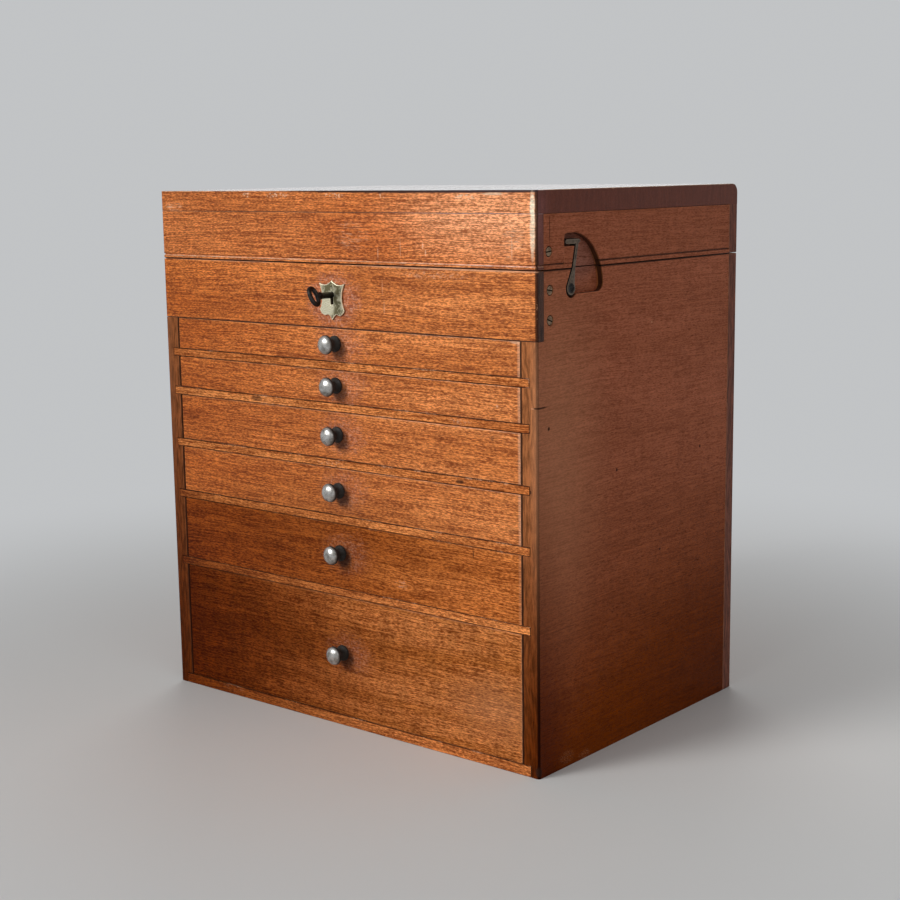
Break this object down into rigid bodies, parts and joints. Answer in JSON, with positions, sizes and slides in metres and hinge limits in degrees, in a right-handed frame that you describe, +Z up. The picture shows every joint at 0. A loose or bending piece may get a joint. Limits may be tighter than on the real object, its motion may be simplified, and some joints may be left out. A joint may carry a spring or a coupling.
{
  "type": "dental cabinet",
  "caption": "Wooden table-top dental instrument cabinet: graded drawers on round metal knobs under a lockable hinged lid over a shallow well, with hooks let into the sides and a turning key.",
  "frame": {"origin": "middle of the underside, on the surface the cabinet stands on", "axes": "+X to the right along the front, +Y from front to back, +Z up"},
  "size_m": [0.395, 0.3081, 0.43],
  "materials": {
    "mahogany": "worn satin polish",
    "drawer_lining": "bare planed wood",
    "polished_steel": "worn polish",
    "brass": "tarnished, worn bright at the edges",
    "dark_iron": "dark, dull"
  },
  "bodies": {
    "carcass": {"base_board": "mahogany", "side_left": "mahogany", "side_right": "mahogany", "back_board": "mahogany", "lock_panel": "mahogany", "well_floor": "mahogany", "shelf_1": "mahogany", "shelf_2": "mahogany", "shelf_3": "mahogany", "shelf_4": "mahogany", "shelf_5": "mahogany", "escutcheon": "brass", "lock_case": "brass", "panel_screw_left_1": "brass", "panel_screw_left_2": "brass", "panel_screw_right_1": "brass", "panel_screw_right_2": "brass", "hook_screw_left": "dark_iron", "hook_screw_right": "dark_iron", "hinge_left_lower_leaf": "brass", "hinge_right_lower_leaf": "brass", "hinge_left_pin": "polished_steel", "hinge_right_pin": "polished_steel"},
    "lid": {"lid_top": "mahogany", "lid_front": "mahogany", "lid_back": "mahogany", "lid_left": "mahogany", "lid_right": "mahogany", "lock_link_plate": "brass", "hinge_left_upper_leaf": "brass", "hinge_right_upper_leaf": "brass"},
    "hook_left": {"hook_left": "dark_iron"},
    "hook_right": {"hook_right": "dark_iron"},
    "key": {"key": "dark_iron"},
    "lock_bolt": {"lock_bolt": "polished_steel"},
    "drawer_1": {"drawer_1_front": "mahogany", "drawer_1_frame": "drawer_lining", "drawer_1_bottom": "drawer_lining", "drawer_1_knob": "polished_steel"},
    "drawer_2": {"drawer_2_front": "mahogany", "drawer_2_frame": "drawer_lining", "drawer_2_bottom": "drawer_lining", "drawer_2_knob": "polished_steel"},
    "drawer_3": {"drawer_3_front": "mahogany", "drawer_3_frame": "drawer_lining", "drawer_3_bottom": "drawer_lining", "drawer_3_knob": "polished_steel"},
    "drawer_4": {"drawer_4_front": "mahogany", "drawer_4_frame": "drawer_lining", "drawer_4_bottom": "drawer_lining", "drawer_4_knob": "polished_steel"},
    "drawer_5": {"drawer_5_front": "mahogany", "drawer_5_frame": "drawer_lining", "drawer_5_bottom": "drawer_lining", "drawer_5_knob": "polished_steel"},
    "drawer_6": {"drawer_6_front": "mahogany", "drawer_6_frame": "drawer_lining", "drawer_6_bottom": "drawer_lining", "drawer_6_knob": "polished_steel"}
  },
  "joints": [
    {"name": "lid_hinge", "type": "hinge", "parent": "carcass", "child": "lid", "pos_m": [0, 0.1409, 0.3737], "axis": [-1, 0, 0], "range_deg": [0, 100]},
    {"name": "drawer_1_slide", "type": "slide", "parent": "carcass", "child": "drawer_1", "axis": [0, -1, 0], "range_m": [0, 0.2]},
    {"name": "drawer_2_slide", "type": "slide", "parent": "carcass", "child": "drawer_2", "axis": [0, -1, 0], "range_m": [0, 0.2]},
    {"name": "drawer_3_slide", "type": "slide", "parent": "carcass", "child": "drawer_3", "axis": [0, -1, 0], "range_m": [0, 0.2]},
    {"name": "drawer_4_slide", "type": "slide", "parent": "carcass", "child": "drawer_4", "axis": [0, -1, 0], "range_m": [0, 0.2]},
    {"name": "drawer_5_slide", "type": "slide", "parent": "carcass", "child": "drawer_5", "axis": [0, -1, 0], "range_m": [0, 0.2]},
    {"name": "drawer_6_slide", "type": "slide", "parent": "carcass", "child": "drawer_6", "axis": [0, -1, 0], "range_m": [0, 0.2]},
    {"name": "hook_left_swing", "type": "hinge", "parent": "carcass", "child": "hook_left", "pos_m": [-0.1971, -0.0962, 0.3593], "axis": [-1, 0, 0], "range_deg": [0, 75]},
    {"name": "hook_right_swing", "type": "hinge", "parent": "carcass", "child": "hook_right", "pos_m": [0.1971, -0.0962, 0.3593], "axis": [-1, 0, 0], "range_deg": [0, 75]},
    {"name": "key_turn", "type": "hinge", "parent": "carcass", "child": "key", "pos_m": [0, -0.138, 0.35], "axis": [0, -1, 0], "range_deg": [-28, 152]},
    {"name": "lock_bolt_slide", "type": "slide", "parent": "carcass", "child": "lock_bolt", "axis": [-1, 0, 0], "range_m": [-0.00155, 0.00844]}
  ],
  "couplings": [
    {"joint": "key_turn", "follows": "lock_bolt_slide", "rad_per_m": 314.16}
  ]
}
